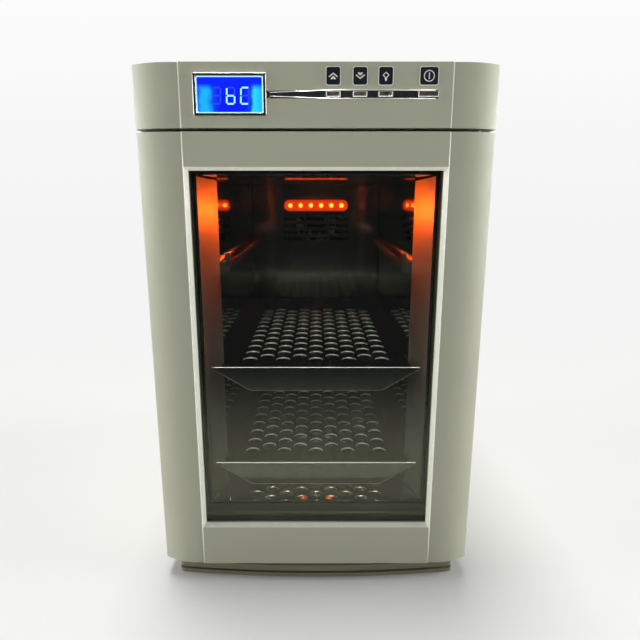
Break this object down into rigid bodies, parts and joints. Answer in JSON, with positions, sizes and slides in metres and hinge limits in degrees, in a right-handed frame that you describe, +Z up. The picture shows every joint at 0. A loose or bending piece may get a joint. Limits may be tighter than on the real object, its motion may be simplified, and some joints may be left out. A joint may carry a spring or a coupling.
{
  "type": "laboratory incubator",
  "caption": "Compact benchtop laboratory incubator with a glazed hinged door, a control head with display and keys, perforated shelves and a lit stainless chamber.",
  "frame": {"origin": "centre of the overall box at the level of the bench", "axes": "+Z up, +X to the right seen from the front, +Y from the door to the back"},
  "size_m": [0.272, 0.41, 0.43],
  "materials": {
    "shell_plastic": "fine matt moulded grey-beige plastic",
    "collar_plastic": "matt moulded plastic",
    "plinth_plastic": "textured moulded plastic",
    "housing_plastic": "black moulded plastic",
    "steel_paint": "powder coat",
    "zinc_steel": "zinc plated steel",
    "stainless": "bright rolled stainless steel",
    "shelf_steel": "perforated stainless steel",
    "foam": "rigid insulation foam",
    "rubber_black": "black rubber",
    "seal_rubber": "soft black rubber",
    "spacer_black": "black moulded frame",
    "pane_glass": "clear float glass",
    "lens_plastic": "clear lamp lens",
    "chrome_trim": "bright chrome",
    "key_chrome": "chromed keys",
    "display_blue": "lit blue display",
    "legend_navy": "dark printed plate",
    "board_green": "circuit board",
    "lamp_board_green": "circuit board with lamps",
    "fan_black": "black glass-filled plastic",
    "sink_aluminium": "extruded aluminium",
    "module_ceramic": "white ceramic plates",
    "bush_plastic": "white bearing plastic",
    "inlet_black": "black moulded inlet",
    "supply_steel": "perforated steel can"
  },
  "bodies": {
    "cabinet": {"base_plinth": "plinth_plastic", "foot_front_left": "rubber_black", "foot_front_right": "rubber_black", "foot_rear_left": "rubber_black", "foot_rear_right": "rubber_black", "door_rest_pad": "rubber_black", "cabinet_wrap": "steel_paint", "cabinet_floor": "zinc_steel", "front_collar": "collar_plastic", "rear_panel": "steel_paint", "rear_panel_screws": "zinc_steel", "fan_housing": "housing_plastic", "power_inlet": "inlet_black", "insulation": "foam", "chamber_liner": "stainless", "air_baffle": "stainless", "lamp_board": "lamp_board_green", "lamp_lens": "lens_plastic", "circulation_fan_frame": "fan_black", "cold_heat_sink": "sink_aluminium", "thermoelectric_module": "module_ceramic", "hot_heat_sink": "sink_aluminium", "exhaust_fan_frame": "fan_black", "rail_left_lower": "stainless", "rail_left_middle": "stainless", "rail_left_upper": "stainless", "rail_right_lower": "stainless", "rail_right_middle": "stainless", "rail_right_upper": "stainless", "shelf_lower": "shelf_steel", "shelf_upper": "shelf_steel", "head_shell": "shell_plastic", "display_bezel": "chrome_trim", "display_module": "display_blue", "control_board": "board_green", "power_supply": "supply_steel", "trim_bar": "chrome_trim", "legend_plates": "legend_navy", "hinge_bracket_top": "zinc_steel", "hinge_bracket_bottom": "zinc_steel"},
    "door": {"door_shell": "shell_plastic", "door_back_panel": "collar_plastic", "window_outer_glass": "pane_glass", "window_spacer": "spacer_black", "window_inner_glass": "pane_glass", "door_gasket": "seal_rubber", "hinge_bush_top": "bush_plastic", "hinge_bush_bottom": "bush_plastic"},
    "button_up": {"button_up": "key_chrome"},
    "button_down": {"button_down": "key_chrome"},
    "button_lamp": {"button_lamp": "key_chrome"},
    "button_power": {"button_power": "key_chrome"},
    "circulation_fan_rotor": {"circulation_fan_rotor": "fan_black"},
    "exhaust_fan_rotor": {"exhaust_fan_rotor": "fan_black"}
  },
  "joints": [
    {"name": "door_swing", "type": "hinge", "parent": "cabinet", "child": "door", "pos_m": [0.124, -0.1832, 0.2], "axis": [0, 0, 1], "range_deg": [0, 110]},
    {"name": "button_up_press", "type": "slide", "parent": "cabinet", "child": "button_up", "axis": [0, 1, 0], "range_m": [0, 0.0008], "stiffness_N_per_m": 1200, "springref_m": -0.0003},
    {"name": "button_down_press", "type": "slide", "parent": "cabinet", "child": "button_down", "axis": [0, 1, 0], "range_m": [0, 0.0008], "stiffness_N_per_m": 1200, "springref_m": -0.0003},
    {"name": "button_lamp_press", "type": "slide", "parent": "cabinet", "child": "button_lamp", "axis": [0, 1, 0], "range_m": [0, 0.0008], "stiffness_N_per_m": 1200, "springref_m": -0.0003},
    {"name": "button_power_press", "type": "slide", "parent": "cabinet", "child": "button_power", "axis": [0, 1, 0], "range_m": [0, 0.0008], "stiffness_N_per_m": 1200, "springref_m": -0.0003},
    {"name": "circulation_fan_spin", "type": "hinge", "parent": "cabinet", "child": "circulation_fan_rotor", "pos_m": [0, 0.1415, 0.298], "axis": [0, 1, 0], "continuous": true},
    {"name": "exhaust_fan_spin", "type": "hinge", "parent": "cabinet", "child": "exhaust_fan_rotor", "pos_m": [0, 0.194, 0.298], "axis": [0, 1, 0], "continuous": true}
  ]
}
